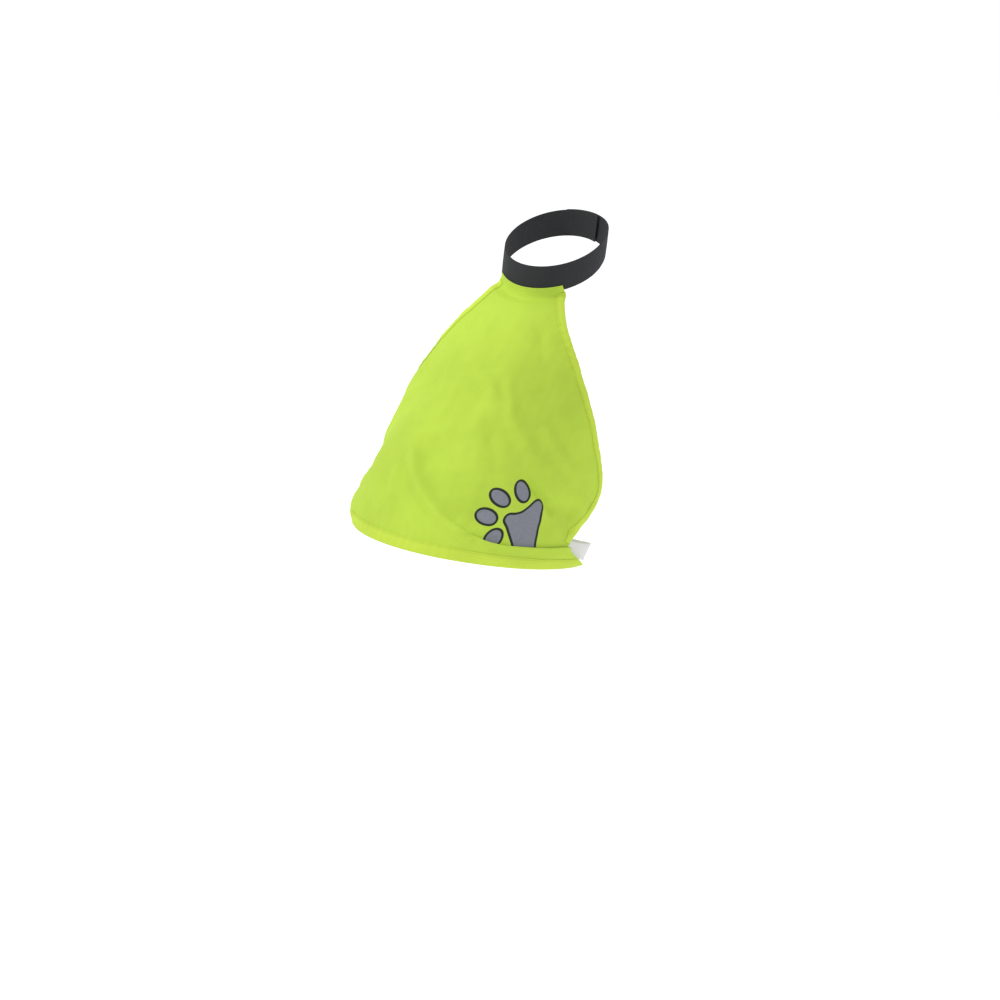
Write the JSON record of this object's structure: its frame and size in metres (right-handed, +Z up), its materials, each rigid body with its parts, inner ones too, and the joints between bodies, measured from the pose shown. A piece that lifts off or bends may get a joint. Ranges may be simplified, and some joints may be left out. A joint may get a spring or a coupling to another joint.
{
  "type": "dog safety vest",
  "caption": "High-visibility cloth vest worn over a dog's back, hollow as worn, with bound edges, a webbing neck strap and an elastic belly strap closed by touch fastener.",
  "frame": {"origin": "on the spine line, on the inner face of the neck strap's lower edge, where the wearer's shoulders hold the vest", "axes": "+X to the wearer's right, +Y towards the wearer's head, +Z up"},
  "size_m": [0.2681, 0.4115, 0.3611],
  "materials": {
    "neon_cloth": "matte fluorescent yellow-green polyester knit",
    "neon_tape": "matte fluorescent yellow-green folded binding tape",
    "dark_webbing": "matte dark flat webbing",
    "white_elastic": "matte white ribbed elastic",
    "hook_tape": "matte grey hook and loop tape"
  },
  "bodies": {
    "root": {"back_panel": "neon_cloth", "side_binding_right": "neon_tape", "side_binding_left": "neon_tape", "hem_binding": "neon_tape", "neck_strap": "dark_webbing", "neck_hook_patch": "hook_tape", "belly_strap_right": "white_elastic", "belly_strap_left": "white_elastic", "belly_hook_patch": "hook_tape"}
  },
  "joints": []
}
